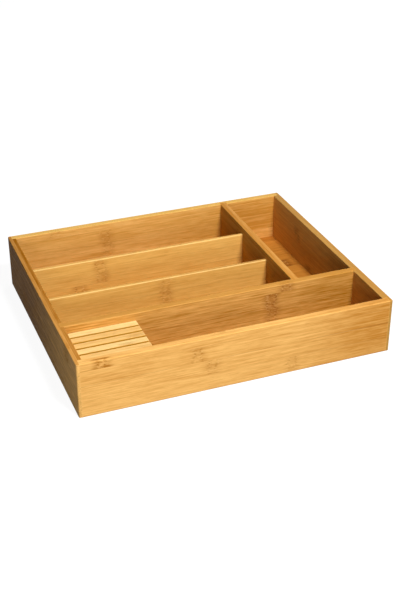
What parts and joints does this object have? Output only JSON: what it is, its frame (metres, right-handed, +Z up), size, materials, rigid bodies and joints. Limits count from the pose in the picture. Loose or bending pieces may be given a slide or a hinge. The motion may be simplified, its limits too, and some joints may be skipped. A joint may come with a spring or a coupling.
{
  "type": "cutlery tray",
  "caption": "Rectangular bamboo drawer tray for cutlery, divided into lanes and a side compartment, with a lift-out slotted knife block at the front left.",
  "frame": {"origin": "middle of the footprint, at the surface that the tray stands on", "axes": "+X to the right along the long side, +Y to the back, +Z up; the knife block is at the front left"},
  "size_m": [0.4, 0.34, 0.072],
  "materials": {
    "board_bamboo": "laminated bamboo, satin lacquer",
    "panel_bamboo": "laminated bamboo, satin lacquer",
    "thin_bamboo": "laminated bamboo, satin lacquer",
    "slat_bamboo": "pale bamboo, satin lacquer",
    "spacer_bamboo": "bamboo, raw"
  },
  "bodies": {
    "tray": {"front_wall": "board_bamboo", "back_wall": "board_bamboo", "left_wall": "board_bamboo", "right_wall": "board_bamboo", "base_panel": "panel_bamboo", "long_divider": "board_bamboo", "cross_divider": "board_bamboo", "low_divider_1": "thin_bamboo", "low_divider_2": "thin_bamboo"},
    "knife_block": {"knife_slat_1": "slat_bamboo", "knife_slat_2": "slat_bamboo", "knife_slat_3": "slat_bamboo", "knife_slat_4": "slat_bamboo", "knife_slat_5": "slat_bamboo", "knife_slat_6": "slat_bamboo", "knife_spacer_1": "spacer_bamboo", "knife_spacer_2": "spacer_bamboo", "knife_spacer_3": "spacer_bamboo", "knife_spacer_4": "spacer_bamboo", "knife_spacer_5": "spacer_bamboo"}
  },
  "joints": [
    {"name": "knife_block_lift", "type": "slide", "parent": "tray", "child": "knife_block", "axis": [0, 0, 1], "range_m": [0, 0.08]}
  ]
}
